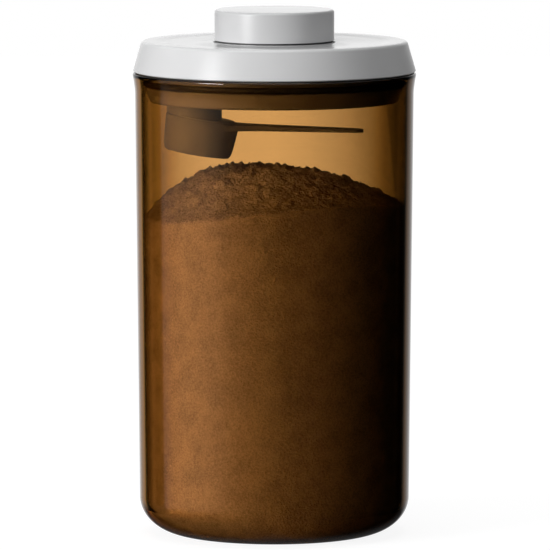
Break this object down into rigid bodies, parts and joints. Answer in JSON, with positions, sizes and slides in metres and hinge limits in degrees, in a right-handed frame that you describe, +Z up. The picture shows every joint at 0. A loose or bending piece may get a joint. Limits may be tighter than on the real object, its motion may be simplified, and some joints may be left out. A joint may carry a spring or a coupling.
{
  "type": "formula powder container",
  "caption": "Round tinted canister for milk powder: push-button lid with rocker levers that squeeze a gasket, and a measuring scoop clipped to a stopper under the lid.",
  "frame": {"origin": "centre of the jar's base, on the surface it stands on", "axes": "+Z up along the jar's axis, +X the way the scoop's handle points, -Y towards the viewer of the picture"},
  "size_m": [0.13, 0.13, 0.2415],
  "materials": {
    "amber_plastic": "clear, tinted brown, polished",
    "white_plastic": "satin moulded",
    "inner_plastic": "matt moulded",
    "smoke_plastic": "clear grey, polished",
    "grey_plastic": "satin moulded",
    "gasket_rubber": "matt",
    "steel": "drawn wire and machined screws",
    "milk_powder": "loose crumbly powder"
  },
  "bodies": {
    "jar": {"container_body": "amber_plastic", "powder": "milk_powder"},
    "lid": {"lid_cover": "white_plastic", "mechanism_frame": "inner_plastic", "gasket": "gasket_rubber", "return_spring": "steel", "frame_screw_1": "steel", "frame_screw_2": "steel", "frame_screw_3": "steel", "frame_screw_4": "steel", "lever_pin_1": "steel", "lever_pin_2": "steel", "lever_pin_3": "steel", "lever_pin_4": "steel"},
    "button": {"button_cap": "white_plastic", "button_plunger": "inner_plastic", "button_screw": "steel"},
    "plug": {"plug_cup": "smoke_plastic", "scoop_holder": "grey_plastic", "holder_screw_1": "steel", "holder_screw_2": "steel"},
    "scoop": {"scoop": "grey_plastic"},
    "lever_1": {"rocker_lever_1": "grey_plastic"},
    "lever_2": {"rocker_lever_2": "grey_plastic"},
    "lever_3": {"rocker_lever_3": "grey_plastic"},
    "lever_4": {"rocker_lever_4": "grey_plastic"},
    "latch": {"latch_wire": "steel"}
  },
  "joints": [
    {"name": "lid_lift", "type": "slide", "parent": "jar", "child": "lid", "axis": [0, 0, 1], "range_m": [0, 0.12]},
    {"name": "button_press", "type": "slide", "parent": "lid", "child": "button", "axis": [0, 0, -1], "range_m": [0, 0.0125], "stiffness_N_per_m": 250, "springref_m": -0.008, "deforming": ["return_spring"]},
    {"name": "plug_lift", "type": "slide", "parent": "lid", "child": "plug", "axis": [0, 0, 1], "range_m": [0, 0.00132], "deforming": ["gasket"]},
    {"name": "lever_1_rock", "type": "hinge", "parent": "lid", "child": "lever_1", "pos_m": [0.036, 0, 0.21035], "axis": [0, -1, 0], "range_deg": [0, 33.2]},
    {"name": "lever_2_rock", "type": "hinge", "parent": "lid", "child": "lever_2", "pos_m": [0, 0.036, 0.21035], "axis": [1, 0, 0], "range_deg": [0, 33.2]},
    {"name": "lever_3_rock", "type": "hinge", "parent": "lid", "child": "lever_3", "pos_m": [-0.036, 0, 0.21035], "axis": [0, 1, 0], "range_deg": [0, 33.2]},
    {"name": "lever_4_rock", "type": "hinge", "parent": "lid", "child": "lever_4", "pos_m": [0, -0.036, 0.21035], "axis": [-1, 0, 0], "range_deg": [0, 33.2]},
    {"name": "latch_sway", "type": "hinge", "parent": "lid", "child": "latch", "pos_m": [0.01556, 0.01556, 0.20701], "axis": [-0.7071, -0.7071, 0], "range_deg": [0, 8.5]},
    {"name": "scoop_release", "type": "slide", "parent": "plug", "child": "scoop", "axis": [-0.1668, 0, -0.986], "range_m": [0, 0.004]}
  ],
  "couplings": [
    {"joint": "plug_lift", "follows": "button_press", "ratio": 0.10502},
    {"joint": "lever_1_rock", "follows": "button_press", "rad_per_m": 46.304},
    {"joint": "lever_2_rock", "follows": "button_press", "rad_per_m": 46.304},
    {"joint": "lever_3_rock", "follows": "button_press", "rad_per_m": 46.304},
    {"joint": "lever_4_rock", "follows": "button_press", "rad_per_m": 46.304},
    {"joint": "latch_sway", "follows": "button_press", "rad_per_m": 11.863}
  ]
}
